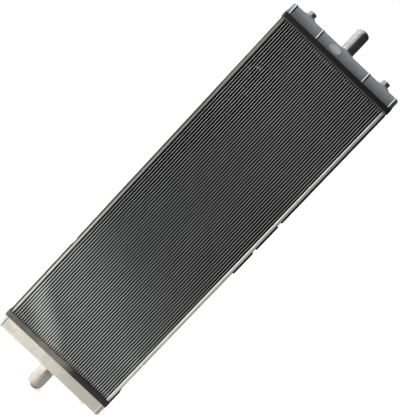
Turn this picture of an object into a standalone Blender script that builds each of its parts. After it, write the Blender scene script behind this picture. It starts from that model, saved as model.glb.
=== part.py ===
"""Hydraulic oil cooler: a brazed aluminium tube-and-fin core between two cast end tanks.

The cooler stands upright. X is its width, Y its depth (the front faces -Y) and Z its height.
The origin is at the middle of the lower port's open end, under the middle of the cooler.
Each end of the cooler is modelled in its own frame, whose origin lies in the header plate's
core face and whose +Z points away from the core, so that both ends share the same functions.
"""
import math

import bmesh
import bpy
from mathutils import Matrix, Vector

# Driving dimensions, in metres
GAP = 0.0003                    # clearance left between neighbouring solids
TUBE_COUNT = 48
TUBE_PITCH = 0.0072
TUBE_THICKNESS = 0.0030
TUBE_WALL = 0.0007
TUBE_DEPTH = 0.0640
TUBE_CHANNELS = 2
TUBES_PER_BLOCK = 3
CORE_HEIGHT = 1.0800            # between the two header plates' core faces
FIN_DEPTH = 0.0600
FIN_END_CLEARANCE = 0.0080      # bare tube between a fin strip's end and the header plate
FIN_BITE = 0.0002               # how far a brazed fin strip runs into the tube wall

HEADER_WIDTH = 0.3810
HEADER_DEPTH = 0.0800
HEADER_HEIGHT = 0.0160
HEADER_BASE = 0.0040
HEADER_RIM = 0.0015
HEADER_CORNER = 0.0090
TUBE_STUB = 0.0010              # how far a tube's end stands into the tank

TANK_FACE_HEIGHT = {"top": 0.0315, "bottom": 0.0350}    # above the header plate's rim
TANK_WALL = 0.0045
TANK_CORNER = 0.0085
TANK_TOP_RADIUS = 0.0060
SKIRT_HEIGHT = 0.0070
SKIRT_STEP = 0.0012
RIB_THICKNESS = 0.0030
RIB_STEP = 0.0016
END_RIB_X = 0.1780
INNER_RIB_X = 0.0825
PIN_X = {"top": 0.1340, "bottom": 0.1300}
PIN_CHAMFER = 0.12              # as a fraction of the pin's radius
BOSS_SINK = 0.0006              # how far a boss's dome runs on below the tank's top face
PAD_CENTRE = (-0.0260, 0.0310)  # x, and z above the header plate's core face
PAD_SIZE = (0.0380, 0.0240)
PAD_STEP = 0.0010

SIDE_PLATE_WIDTH = 0.0105
SIDE_PLATE_SHEET = 0.0020
NOTCH_HEIGHT = 0.0018
NOTCH_FROM_END = 0.1400
FOAM_DEPTH = 0.0560
LEFT_FOAM_THICKNESS = 0.0018
RIGHT_FOAM_THICKNESS = 0.0045

ROUND_STEPS = 28                # facets round a port
PIN_STEPS = 20                  # facets round a pin or a boss

# The ports, from the tank's top face outward. The top one is a straight tube whose end is
# rolled in to a narrow mouth, and the bottom one is a barrel-shaped neck with a smaller lip.
# A shoulder is a quarter of an ellipse from the body in to the lip.
PORTS = {
    "top": {"length": 0.0760, "lip": 0.0120, "shoulder": (0.0645, 0.0745), "body": 0.0200, "barrel": [],
            "foot": 0.0200, "bore": 0.0170, "bore_end": 0.0610, "mouth": 0.0095, "mouth_start": 0.0690},
    "bottom": {"length": 0.0755, "lip": 0.0145, "shoulder": (0.0540, 0.0735), "body": 0.0248,
               "barrel": [(0.0250, 0.0360), (0.0244, 0.0150), (0.0230, 0.0040)],
               "foot": 0.0230, "bore": 0.0195, "bore_end": 0.0520, "mouth": 0.0120, "mouth_start": 0.0660},
}
# The raised bosses round the ports and the pins: outer radius, height, radius of the flat crown
PORT_BOSS = {"top": (0.0300, 0.0050, 0.0215), "bottom": (0.0300, 0.0025, 0.0250)}
PIN_BOSS = {"top": (0.0230, 0.0080, 0.0145), "bottom": (0.0190, 0.0040, 0.0125)}
# The pins above their bosses, and the shanks that seat them
PINS = {
    "top": {"radius": 0.0120, "length": 0.0125, "shank": 0.0060, "seat": 0.0080},
    "bottom": {"radius": 0.0100, "length": 0.0140, "shank": 0.0050, "seat": 0.0050},
}

# Values that follow from them
TANK_WIDTH = HEADER_WIDTH - 2 * (HEADER_RIM + GAP)
TANK_DEPTH = HEADER_DEPTH - 2 * (HEADER_RIM + GAP)
TANK_FOOT = HEADER_BASE + GAP
TANK_TOP = {side: HEADER_HEIGHT + height for side, height in TANK_FACE_HEIGHT.items()}
FIN_WIDTH = TUBE_PITCH - TUBE_THICKNESS
FIN_HEIGHT = CORE_HEIGHT - 2 * FIN_END_CLEARANCE
OUTER_TUBE_FACE = (TUBE_COUNT - 1) / 2 * TUBE_PITCH + TUBE_THICKNESS / 2
SIDE_PLATE_X = OUTER_TUBE_FACE + FIN_WIDTH + GAP
BLOCK_COUNT = TUBE_COUNT // TUBES_PER_BLOCK
LOWER_FACE_Z = PORTS["bottom"]["length"] + TANK_TOP["bottom"]
UPPER_FACE_Z = LOWER_FACE_Z + CORE_HEIGHT
CORE_MIDDLE_Z = LOWER_FACE_Z + CORE_HEIGHT / 2

# Foam seal lengths, as fractions of the core's height measured up from the lower header plate
LEFT_FOAM = {"lower": (0.001, 0.237), "upper": (0.253, 0.999)}
RIGHT_FOAM = {"foot": (0.001, 0.037), "lower": (0.460, 0.530),
              "middle": (0.543, 0.622), "upper": (0.634, 0.999)}


# ---------------------------------------------------------------- scene helpers

def clear_scene():
    for old in list(bpy.data.objects):
        bpy.data.objects.remove(old, do_unlink=True)


def new_collection(name):
    made = bpy.data.collections.new(name)
    bpy.context.scene.collection.children.link(made)
    return made


def new_material(name, colour, roughness, metallic):
    made = bpy.data.materials.new(name)
    made.use_nodes = True
    shader = made.node_tree.nodes["Principled BSDF"]
    shader.inputs["Base Color"].default_value = (*colour, 1.0)
    shader.inputs["Roughness"].default_value = roughness
    shader.inputs["Metallic"].default_value = metallic
    made.diffuse_color = (*colour, 1.0)
    return made


def add_part(name, mesh, material, parent=None, location=(0, 0, 0)):
    part = bpy.data.objects.new(name, mesh)
    if not mesh.materials:
        mesh.materials.append(material)
    part.location = location
    part.parent = parent
    parts.objects.link(part)
    return part


def add_tool(name, mesh, parent=None, location=(0, 0, 0)):
    """A solid that is only joined to a part or cut from it."""
    tool = bpy.data.objects.new(name, mesh)
    tool.location = location
    tool.parent = parent
    tool.hide_render = True
    tool.display_type = "WIRE"
    tools.objects.link(tool)
    return tool


def boolean(part, tool, operation):
    modifier = part.modifiers.new(tool.name, "BOOLEAN")
    modifier.operation = operation
    modifier.solver = "EXACT"
    modifier.object = tool


# ---------------------------------------------------------------- shape helpers

def add_box(bm, low, high):
    """Adds a box to a bmesh and returns its vertices."""
    low, high = Vector(low), Vector(high)
    place = Matrix.Translation((low + high) / 2) @ Matrix.Diagonal((*(high - low), 1))
    return bmesh.ops.create_cube(bm, size=1, matrix=place)["verts"]


def box_mesh(name, *boxes):
    """One mesh of boxes that don't touch, each given by its low and high corners."""
    bm = bmesh.new()
    for low, high in boxes:
        add_box(bm, low, high)
    return finish_mesh(name, bm)


def rounded_box_mesh(name, low, high, corner, top_radius=0.0):
    """A box with rounded upright edges and, if asked for, a rounded top edge."""
    bm = bmesh.new()
    add_box(bm, low, high)
    upright = [e for e in bm.edges if abs(e.verts[0].co.z - e.verts[1].co.z) > 1e-6]
    bmesh.ops.bevel(bm, geom=upright, offset=corner, segments=4, profile=0.5, affect="EDGES")
    if top_radius:
        rim = [e for e in bm.edges if all(abs(v.co.z - high[2]) < 1e-6 for v in e.verts)]
        bmesh.ops.bevel(bm, geom=rim, offset=top_radius, segments=3, profile=0.5, affect="EDGES")
    return finish_mesh(name, bm)


def finish_mesh(name, bm):
    mesh = bpy.data.meshes.new(name)
    bm.to_mesh(mesh)
    bm.free()
    mesh.shade_smooth()
    mesh.set_sharp_from_angle(angle=math.radians(35))
    return mesh


def profile_mesh(name, points, closed):
    """The half section of a turned solid, as (radius, height) points from top to bottom."""
    mesh = bpy.data.meshes.new(name)
    edges = [(i, i + 1) for i in range(len(points) - 1)]
    if closed:
        edges.append((len(points) - 1, 0))
    mesh.from_pydata([(radius, 0, height) for radius, height in points], edges, [])
    return mesh


def turn(part, steps):
    """Turns a profile about its own Z axis."""
    screw = part.modifiers.new("turned", "SCREW")
    screw.axis = "Z"
    screw.steps = steps
    screw.render_steps = steps
    screw.use_merge_vertices = True
    screw.merge_threshold = 0.00001
    screw.use_smooth_shade = True
    screw.use_normal_calculate = False


def quarter(centre, radii, start, end, segments):
    """Points of an elliptic arc about centre, with its angles in degrees."""
    points = []
    for i in range(segments + 1):
        angle = math.radians(start + (end - start) * i / segments)
        points.append((centre[0] + radii[0] * math.cos(angle), centre[1] + radii[1] * math.sin(angle)))
    return points


def outline_prism(name, loops, height):
    """Extrudes a flat outline, with its holes, into a closed mesh centred on z = 0."""
    curve = bpy.data.curves.new(name, "CURVE")
    curve.dimensions = "2D"
    curve.fill_mode = "BOTH"
    curve.extrude = height / 2
    for loop in loops:
        spline = curve.splines.new("POLY")
        spline.points.add(len(loop) - 1)
        for point, (x, y) in zip(spline.points, loop):
            point.co = (x, y, 0, 1)
        spline.use_cyclic_u = True
    carrier = bpy.data.objects.new(name, curve)
    tools.objects.link(carrier)
    evaluated = carrier.evaluated_get(bpy.context.evaluated_depsgraph_get())
    mesh = bpy.data.meshes.new_from_object(evaluated)
    bpy.data.objects.remove(carrier)
    bpy.data.curves.remove(curve)
    bm = bmesh.new()
    bm.from_mesh(mesh)
    bmesh.ops.remove_doubles(bm, verts=bm.verts, dist=0.00001)
    bmesh.ops.recalc_face_normals(bm, faces=bm.faces)
    bm.to_mesh(mesh)
    bm.free()
    return mesh


# ---------------------------------------------------------------- core

def tube_loops():
    """A flat tube's section: a rounded outline and one hole for each oil channel."""
    nose = TUBE_THICKNESS / 2
    straight = TUBE_DEPTH / 2 - nose
    outline = quarter((0, straight), (nose, nose), 0, 180, 4)
    outline += quarter((0, -straight), (nose, nose), 180, 360, 4)
    half_bore = nose - TUBE_WALL
    first = TUBE_WALL - straight
    channel = (-2 * first - TUBE_WALL * (TUBE_CHANNELS - 1)) / TUBE_CHANNELS
    loops = [outline]
    for i in range(TUBE_CHANNELS):
        start = first + i * (channel + TUBE_WALL)
        end = start + channel
        loops.append([(half_bore, start), (-half_bore, start), (-half_bore, end), (half_bore, end)])
    return loops


def tube_block_mesh():
    """A brazed block: flat tubes side by side, with a fin strip between each two.

    A fin strip is the outer envelope of its corrugated foil.
    """
    tube_height = CORE_HEIGHT + 2 * (HEADER_BASE + TUBE_STUB)
    tube = outline_prism("flat_tube", tube_loops(), tube_height)
    bm = bmesh.new()
    for i in range(TUBES_PER_BLOCK):
        before = len(bm.verts)
        bm.from_mesh(tube)
        bm.verts.ensure_lookup_table()
        shift = Vector(((i - (TUBES_PER_BLOCK - 1) / 2) * TUBE_PITCH, 0, 0))
        bmesh.ops.translate(bm, verts=bm.verts[before:], vec=shift)
    block = bpy.data.objects.new("tube_block", finish_mesh("tube_block", bm))
    tools.objects.link(block)
    half_width = FIN_WIDTH / 2 + FIN_BITE
    strips = []
    for i in range(TUBES_PER_BLOCK - 1):
        x = (i + 1 - TUBES_PER_BLOCK / 2) * TUBE_PITCH
        strips.append(((x - half_width, -FIN_DEPTH / 2, -FIN_HEIGHT / 2),
                       (x + half_width, FIN_DEPTH / 2, FIN_HEIGHT / 2)))
    fins = add_tool("brazed_fins", box_mesh("brazed_fins", *strips))
    boolean(block, fins, "UNION")
    evaluated = block.evaluated_get(bpy.context.evaluated_depsgraph_get())
    mesh = bpy.data.meshes.new_from_object(evaluated)
    bpy.data.objects.remove(block)
    bpy.data.objects.remove(fins)
    mesh.name = "tube_block"
    return mesh


def make_core():
    block_mesh = tube_block_mesh()
    block_pitch = TUBES_PER_BLOCK * TUBE_PITCH
    for i in range(BLOCK_COUNT):
        x = (i - (BLOCK_COUNT - 1) / 2) * block_pitch
        add_part(f"tube_block_{i + 1:02d}", block_mesh, tube_metal, location=(x, 0, CORE_MIDDLE_Z))
    half_width = FIN_WIDTH / 2 - GAP
    strip_mesh = box_mesh("fin_strip", ((-half_width, -FIN_DEPTH / 2, -FIN_HEIGHT / 2),
                                        (half_width, FIN_DEPTH / 2, FIN_HEIGHT / 2)))
    for i in range(BLOCK_COUNT + 1):
        x = (i - BLOCK_COUNT / 2) * block_pitch
        add_part(f"fin_strip_{i + 1:02d}", strip_mesh, fin_metal, location=(x, 0, CORE_MIDDLE_Z))


# ---------------------------------------------------------------- ends

def make_header(side, end, material):
    """The formed pan that the tubes are brazed into and the tank is welded into."""
    width, depth = HEADER_WIDTH / 2, HEADER_DEPTH / 2
    pan = add_part(f"{side}_header_plate", rounded_box_mesh(
        f"{side}_header_plate", (-width, -depth, 0), (width, depth, HEADER_HEIGHT), HEADER_CORNER),
        material, end)
    inner_width, inner_depth = width - HEADER_RIM, depth - HEADER_RIM
    well = add_tool(f"{side}_header_well", rounded_box_mesh(
        f"{side}_header_well", (-inner_width, -inner_depth, HEADER_BASE),
        (inner_width, inner_depth, 2 * HEADER_HEIGHT), HEADER_CORNER - HEADER_RIM), end)
    boolean(pan, well, "DIFFERENCE")
    slot_x, slot_y = TUBE_THICKNESS / 2 + GAP, TUBE_DEPTH / 2 + GAP
    slots = []
    for i in range(TUBE_COUNT):
        x = (i - (TUBE_COUNT - 1) / 2) * TUBE_PITCH
        slots.append(((x - slot_x, -slot_y, -HEADER_BASE), (x + slot_x, slot_y, 2 * HEADER_BASE)))
    boolean(pan, add_tool(f"{side}_tube_slots", box_mesh(f"{side}_tube_slots", *slots), end),
            "DIFFERENCE")


def rib_boxes(positions, foot, top):
    """Thin hoop ribs round the tank, as boxes through it."""
    depth = TANK_DEPTH / 2 + RIB_STEP
    return [((x - RIB_THICKNESS / 2, -depth, foot), (x + RIB_THICKNESS / 2, depth, top + RIB_STEP))
            for x in positions]


def boss_tool(name, end, foot, boss):
    """A low dome on the tank's top with a flat crown, to be joined to the tank."""
    radius, height, flat = boss
    rise = quarter((flat, -BOSS_SINK), (radius - flat, height + BOSS_SINK), 90, 0, 4)
    profile = [(0, height)] + rise + [(radius, -TANK_WALL / 2), (0, -TANK_WALL / 2)]
    tool = add_tool(name, profile_mesh(name, profile, False), end, foot)
    turn(tool, PIN_STEPS)
    return tool


def bore_tool(name, end, foot, radius, low, high, steps):
    """A cutter for a round hole, turned half a facet so that its edges miss the boss's."""
    profile = [(0, high), (radius, high), (radius, low), (0, low)]
    tool = add_tool(name, profile_mesh(name, profile, False), end, foot)
    tool.rotation_euler = (0, 0, math.pi / steps)
    turn(tool, steps)
    return tool


def make_tank(side, end, material):
    """The cast tank: a rounded box with a welded skirt, ribs and bosses, hollow inside.

    Only the top tank has the two inner ribs and the oval pad.
    """
    width, depth, top = TANK_WIDTH / 2, TANK_DEPTH / 2, TANK_TOP[side]
    tank = add_part(f"{side}_tank", rounded_box_mesh(
        f"{side}_tank", (-width, -depth, TANK_FOOT), (width, depth, top),
        TANK_CORNER, TANK_TOP_RADIUS), material, end)
    skirt_foot = HEADER_HEIGHT + GAP
    skirt = add_tool(f"{side}_tank_skirt", rounded_box_mesh(
        f"{side}_tank_skirt", (-width - SKIRT_STEP, -depth - SKIRT_STEP, skirt_foot),
        (width + SKIRT_STEP, depth + SKIRT_STEP, skirt_foot + SKIRT_HEIGHT),
        TANK_CORNER + SKIRT_STEP, SKIRT_STEP * 0.9), end)
    boolean(tank, skirt, "UNION")
    ribs = rib_boxes((-END_RIB_X, END_RIB_X), skirt_foot, top)
    if side == "top":
        ribs += rib_boxes((-INNER_RIB_X, INNER_RIB_X), skirt_foot + SKIRT_HEIGHT / 2, top)
    boolean(tank, add_tool(f"{side}_tank_ribs", box_mesh(f"{side}_tank_ribs", *ribs), end), "UNION")
    if side == "top":
        loop = quarter((0, 0), (PAD_SIZE[0] / 2, PAD_SIZE[1] / 2), 0, 360, 28)[:-1]
        pad = add_tool(f"{side}_tank_pad", outline_prism(
            f"{side}_tank_pad", [loop], 2 * (PAD_STEP + TANK_WALL / 2)), end,
            (PAD_CENTRE[0], TANK_DEPTH / -2 + TANK_WALL / 2, PAD_CENTRE[1]))
        pad.rotation_euler = (math.radians(90), 0, 0)
        boolean(tank, pad, "UNION")
    pin_feet = {"left": (-PIN_X[side], 0, top), "right": (PIN_X[side], 0, top)}
    boolean(tank, boss_tool(f"{side}_port_boss", end, (0, 0, top), PORT_BOSS[side]), "UNION")
    for hand, foot in pin_feet.items():
        boolean(tank, boss_tool(f"{side}_{hand}_pin_boss", end, foot, PIN_BOSS[side]), "UNION")
    chamber = add_tool(f"{side}_tank_chamber", rounded_box_mesh(
        f"{side}_tank_chamber", (TANK_WALL - width, TANK_WALL - depth, -TANK_FOOT),
        (width - TANK_WALL, depth - TANK_WALL, top - TANK_WALL),
        TANK_CORNER - TANK_WALL), end)
    boolean(tank, chamber, "DIFFERENCE")
    boss_height = PIN_BOSS[side][1]
    boolean(tank, bore_tool(f"{side}_port_hole", end, (0, 0, top), PORTS[side]["foot"] + GAP,
                            -2 * TANK_WALL, 2 * boss_height, ROUND_STEPS), "DIFFERENCE")
    for hand, foot in pin_feet.items():
        boolean(tank, bore_tool(f"{side}_{hand}_pin_hole", end, foot, PINS[side]["shank"] + GAP,
                                boss_height - PINS[side]["seat"] - GAP, 2 * boss_height, PIN_STEPS),
                "DIFFERENCE")


def make_port(side, end, material):
    """A port neck, turned from a profile that runs down its outside and back up its bore."""
    port = PORTS[side]
    length, foot = port["length"], GAP - TANK_WALL
    shoulder_start, shoulder_end = port["shoulder"]
    outer = [(port["lip"], length)]
    outer += quarter((port["lip"], shoulder_start),
                     (port["body"] - port["lip"], shoulder_end - shoulder_start), 90, 0, 5)
    outer += port["barrel"] + [(port["foot"], foot)]
    inner = [(port["bore"], foot), (port["bore"], port["bore_end"]),
             (port["mouth"], port["mouth_start"]), (port["mouth"], length)]
    part = add_part(f"{side}_port", profile_mesh(f"{side}_port", outer + inner, True), material, end,
                    (0, 0, TANK_TOP[side]))
    turn(part, ROUND_STEPS)


def make_pins(side, end, material):
    """Mounting pins: each has a shank in the tank's boss and a chamfered tip."""
    pin = PINS[side]
    radius, chamfer = pin["radius"], pin["radius"] * PIN_CHAMFER
    profile = [(0, pin["length"]), (radius - chamfer, pin["length"]),
               (radius, pin["length"] - chamfer), (radius, GAP),
               (pin["shank"], GAP), (pin["shank"], -pin["seat"]), (0, -pin["seat"])]
    for hand, x in (("left", -PIN_X[side]), ("right", PIN_X[side])):
        name = f"{side}_{hand}_mounting_pin"
        part = add_part(name, profile_mesh(name, profile, False), material, end,
                        (x, 0, TANK_TOP[side] + PIN_BOSS[side][1]))
        turn(part, PIN_STEPS)


# ---------------------------------------------------------------- sides

def make_side_plate(hand, sign):
    """A channel section, open away from the core, with saw cuts for heat expansion."""
    height = CORE_HEIGHT / 2 - GAP
    depth = TUBE_DEPTH / 2
    near, far = SIDE_PLATE_X, SIDE_PLATE_X + SIDE_PLATE_WIDTH
    web = near + SIDE_PLATE_SHEET

    def span(x_low, x_high, y, z_low, z_high):
        low, high = sorted((sign * x_low, sign * x_high))
        return (low, -y, z_low), (high, y, z_high)

    plate = add_part(f"{hand}_side_plate", box_mesh(
        f"{hand}_side_plate", span(near, far, depth, -height, height)), side_metal,
        location=(0, 0, CORE_MIDDLE_Z))
    channel = box_mesh(f"{hand}_channel", span(web, far + SIDE_PLATE_WIDTH, depth - SIDE_PLATE_SHEET,
                                               -CORE_HEIGHT, CORE_HEIGHT))
    boolean(plate, add_tool(f"{hand}_channel", channel, location=(0, 0, CORE_MIDDLE_Z)), "DIFFERENCE")
    cuts = [span(web + GAP, far + SIDE_PLATE_WIDTH, TUBE_DEPTH, z - NOTCH_HEIGHT / 2, z + NOTCH_HEIGHT / 2)
            for z in (NOTCH_FROM_END - CORE_HEIGHT / 2, CORE_HEIGHT / 2 - NOTCH_FROM_END)]
    saw = add_tool(f"{hand}_saw_cuts", box_mesh(f"{hand}_saw_cuts", *cuts), location=(0, 0, CORE_MIDDLE_Z))
    boolean(plate, saw, "DIFFERENCE")


def make_foam(hand, sign, thickness, lengths):
    """Lengths of sponge seal along the open side of the channel."""
    inner = SIDE_PLATE_X + SIDE_PLATE_WIDTH + GAP
    low_x, high_x = sorted((sign * inner, sign * (inner + thickness)))
    for place, (start, end) in lengths.items():
        name = f"{hand}_foam_seal_{place}"
        half = (end - start) * CORE_HEIGHT / 2
        middle = LOWER_FACE_Z + (start + end) / 2 * CORE_HEIGHT
        strip = box_mesh(name, ((low_x, -FOAM_DEPTH / 2, -half), (high_x, FOAM_DEPTH / 2, half)))
        add_part(name, strip, foam, location=(0, 0, middle))


# ---------------------------------------------------------------- the cooler

clear_scene()
parts = new_collection("hydraulic_oil_cooler")
tools = new_collection("cutters")

tube_metal = new_material("tube_aluminium", (0.36, 0.36, 0.36), 0.38, 0.9)
fin_metal = new_material("fin_black", (0.012, 0.012, 0.013), 0.55, 0.2)
top_header_metal = new_material("top_header_black", (0.018, 0.018, 0.020), 0.5, 0.3)
bottom_header_metal = new_material("bottom_header_grey", (0.060, 0.056, 0.050), 0.5, 0.5)
top_tank_metal = new_material("top_tank_cast", (0.22, 0.225, 0.235), 0.6, 0.6)
bottom_tank_metal = new_material("bottom_tank_cast", (0.62, 0.58, 0.53), 0.5, 0.6)
top_port_metal = new_material("top_port_tube", (0.30, 0.31, 0.31), 0.3, 0.9)
bottom_port_metal = new_material("bottom_port_neck", (0.50, 0.47, 0.42), 0.4, 0.8)
pin_metal = new_material("pin_steel", (0.28, 0.29, 0.29), 0.35, 0.9)
side_metal = new_material("side_plate_aluminium", (0.33, 0.33, 0.28), 0.45, 0.8)
foam = new_material("seal_foam", (0.010, 0.010, 0.010), 0.9, 0.0)

top_end = bpy.data.objects.new("top_end", None)
top_end.location = (0, 0, UPPER_FACE_Z)
bottom_end = bpy.data.objects.new("bottom_end", None)
bottom_end.location = (0, 0, LOWER_FACE_Z)
bottom_end.rotation_euler = (math.pi, 0, 0)
for empty in (top_end, bottom_end):
    parts.objects.link(empty)
bpy.context.view_layer.update()

make_core()
for side, end, header_metal, tank_metal, port_metal in (
        ("top", top_end, top_header_metal, top_tank_metal, top_port_metal),
        ("bottom", bottom_end, bottom_header_metal, bottom_tank_metal, bottom_port_metal)):
    make_header(side, end, header_metal)
    make_tank(side, end, tank_metal)
    make_port(side, end, port_metal)
    make_pins(side, end, pin_metal)
for hand, sign, thickness, lengths in (("left", -1, LEFT_FOAM_THICKNESS, LEFT_FOAM),
                                       ("right", 1, RIGHT_FOAM_THICKNESS, RIGHT_FOAM)):
    make_side_plate(hand, sign)
    make_foam(hand, sign, thickness, lengths)
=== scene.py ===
"""Looks of the hydraulic oil cooler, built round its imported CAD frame.

The core's tubes, folded fins and side channels, the pressed header plates, the cast tanks, the
turned ports and pins and the sponge seals are all modelled here at their CAD places and sizes.
"""
import math
import random

import bmesh
import bpy
from mathutils import Matrix, Vector, noise


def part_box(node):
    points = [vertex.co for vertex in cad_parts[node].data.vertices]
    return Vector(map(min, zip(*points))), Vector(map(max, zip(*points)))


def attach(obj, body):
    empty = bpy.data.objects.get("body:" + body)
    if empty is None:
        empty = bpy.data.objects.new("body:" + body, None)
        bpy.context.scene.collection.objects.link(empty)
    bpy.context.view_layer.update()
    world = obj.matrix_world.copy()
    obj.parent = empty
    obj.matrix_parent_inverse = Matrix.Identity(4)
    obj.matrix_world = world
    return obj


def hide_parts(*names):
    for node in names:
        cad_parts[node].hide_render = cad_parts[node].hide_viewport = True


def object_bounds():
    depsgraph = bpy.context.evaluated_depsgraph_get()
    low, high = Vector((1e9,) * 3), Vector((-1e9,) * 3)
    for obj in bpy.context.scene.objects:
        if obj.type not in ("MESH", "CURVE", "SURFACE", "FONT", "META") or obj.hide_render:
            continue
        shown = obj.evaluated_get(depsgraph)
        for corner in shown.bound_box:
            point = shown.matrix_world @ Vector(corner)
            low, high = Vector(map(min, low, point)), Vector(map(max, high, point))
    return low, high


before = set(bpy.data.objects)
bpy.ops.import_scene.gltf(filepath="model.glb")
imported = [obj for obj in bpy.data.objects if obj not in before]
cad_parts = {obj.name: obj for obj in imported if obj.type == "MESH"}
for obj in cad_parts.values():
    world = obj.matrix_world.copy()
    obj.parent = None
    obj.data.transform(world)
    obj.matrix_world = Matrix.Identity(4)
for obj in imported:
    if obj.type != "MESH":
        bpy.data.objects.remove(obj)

cad_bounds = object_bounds()
MM = 0.001

# ---------------------------------------------------------------- places read from the frame

BLOCKS = sorted(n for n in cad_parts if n.startswith("tube_block_"))
STRIPS = sorted(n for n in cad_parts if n.startswith("fin_strip_"))
FOAMS = sorted(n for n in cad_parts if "foam_seal" in n)
TUBES_PER_BLOCK = 3

block_low, block_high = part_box(BLOCKS[0])
next_low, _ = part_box(BLOCKS[1])
TUBE_PITCH = (next_low.x - block_low.x) / TUBES_PER_BLOCK
TUBE_THICKNESS = block_high.x - block_low.x - (TUBES_PER_BLOCK - 1) * TUBE_PITCH
TUBE_HALF_DEPTH = (block_high.y - block_low.y) / 2
TUBE_COUNT = len(BLOCKS) * TUBES_PER_BLOCK
FIN_GAP = TUBE_PITCH - TUBE_THICKNESS
fin_low, fin_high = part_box(STRIPS[0])

LOWER_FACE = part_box("bottom_header_plate")[1].z     # the header plates' core faces
UPPER_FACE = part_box("top_header_plate")[0].z
CORE_HEIGHT = UPPER_FACE - LOWER_FACE
CORE_MIDDLE = (UPPER_FACE + LOWER_FACE) / 2
CHANNEL_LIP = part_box("right_side_plate")[1].x
END_RIBS = (-178 * MM, 178 * MM)
TOP_RIBS = (-178 * MM, -82.5 * MM, 82.5 * MM, 178 * MM)
PAD_PLACE = (-26 * MM, 31 * MM)                     # from the middle, and from the header's core face
PAD_RADII = (19 * MM, 12 * MM)


def tube_x(index):
    """Middle of a tube, counted from the left."""
    return block_low.x + TUBE_THICKNESS / 2 + index * TUBE_PITCH


def gap_x(gap):
    """Middle of the gap that a fin strip fills, counted from the left."""
    return tube_x(0) + (gap - 0.5) * TUBE_PITCH


# ---------------------------------------------------------------- material helpers

RANGE_SOCKETS = ("From Min", "From Max", "To Min", "To Max")


class Nodes:
    """A short way to write a Principled material's node tree."""

    def __init__(self, name):
        self.material = bpy.data.materials.new(name)
        self.material.use_nodes = True
        self.tree = self.material.node_tree
        self.shader = self.tree.nodes["Principled BSDF"]
        self.place = self.add("ShaderNodeNewGeometry").outputs["Position"]

    def add(self, kind, **settings):
        node = self.tree.nodes.new(kind)
        for key, value in settings.items():
            setattr(node, key, value)
        return node

    def link(self, value, socket):
        if isinstance(value, bpy.types.NodeSocket):
            self.tree.links.new(value, socket)
        else:
            socket.default_value = value

    def math(self, operation, a, b=0.0, clamp=False):
        node = self.add("ShaderNodeMath", operation=operation, use_clamp=clamp)
        self.link(a, node.inputs[0])
        self.link(b, node.inputs[1])
        return node.outputs[0]

    def plus(self, a, b):
        return self.math("ADD", a, b)

    def minus(self, a, b, clamp=False):
        return self.math("SUBTRACT", a, b, clamp)

    def times(self, a, b):
        return self.math("MULTIPLY", a, b)

    def stretch(self, scale):
        """The place with each axis scaled, for grain that runs one way."""
        node = self.add("ShaderNodeVectorMath", operation="MULTIPLY")
        self.link(self.place, node.inputs[0])
        node.inputs[1].default_value = scale
        return node.outputs[0]

    def noise(self, size, detail=3.0, rough=0.55, place=None):
        """Noise with features of about the given size in metres."""
        node = self.add("ShaderNodeTexNoise")
        self.link(place or self.place, node.inputs["Vector"])
        node.inputs["Scale"].default_value = 1 / size
        node.inputs["Detail"].default_value = detail
        node.inputs["Roughness"].default_value = rough
        return node.outputs["Fac"]

    def cells(self, size):
        """The distance to the nearest of many scattered points, for pits and pores."""
        node = self.add("ShaderNodeTexVoronoi")
        self.link(self.place, node.inputs["Vector"])
        node.inputs["Scale"].default_value = 1 / size
        return node.outputs["Distance"]

    def ramp(self, value, low, high, to_low=0.0, to_high=1.0):
        """A smooth step of value from low to high."""
        node = self.add("ShaderNodeMapRange", interpolation_type="SMOOTHSTEP")
        self.link(value, node.inputs["Value"])
        for socket, number in zip(RANGE_SOCKETS, (low, high, to_low, to_high)):
            node.inputs[socket].default_value = number
        return node.outputs["Result"]

    def axis(self, letter):
        node = self.add("ShaderNodeSeparateXYZ")
        self.link(self.place, node.inputs[0])
        return node.outputs[letter]

    def mix(self, factor, a, b):
        """Blends two colours, or two sockets that carry them."""
        node = self.add("ShaderNodeMix", data_type="RGBA")
        self.link(factor, node.inputs["Factor"])
        for socket, value in (("A", a), ("B", b)):
            target = [i for i in node.inputs if i.name == socket and i.type == "RGBA"][0]
            self.link(value if isinstance(value, bpy.types.NodeSocket) else (*value, 1.0), target)
        return [o for o in node.outputs if o.type == "RGBA"][0]

    def bump(self, *layers):
        """Stacks height layers, each as (height socket, depth in metres)."""
        normal = None
        for height, depth in layers:
            node = self.add("ShaderNodeBump")
            node.inputs["Strength"].default_value = 1.0
            node.inputs["Distance"].default_value = depth
            self.link(height, node.inputs["Height"])
            if normal is not None:
                self.link(normal, node.inputs["Normal"])
            normal = node.outputs["Normal"]
        self.link(normal, self.shader.inputs["Normal"])

    def surface(self, colour, roughness, metallic=0.0):
        self.link(colour if isinstance(colour, bpy.types.NodeSocket) else (*colour, 1.0),
                  self.shader.inputs["Base Color"])
        self.link(roughness, self.shader.inputs["Roughness"])
        self.link(metallic, self.shader.inputs["Metallic"])


def spread_mask(n, centre, reach, soft):
    """1 inside a soft ellipse in the plane of the front face, falling to 0 outside it."""
    x = n.math("DIVIDE", n.minus(n.axis("X"), centre[0]), reach[0])
    z = n.math("DIVIDE", n.minus(n.axis("Z"), centre[1]), reach[1])
    distance = n.math("SQRT", n.plus(n.times(x, x), n.times(z, z)))
    return n.ramp(distance, 1.0, 1.0 - soft)


def scaled(colour, factor):
    """A colour made lighter or darker."""
    return [min(c * factor, 1.0) for c in colour]


# ---------------------------------------------------------------- materials

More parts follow.
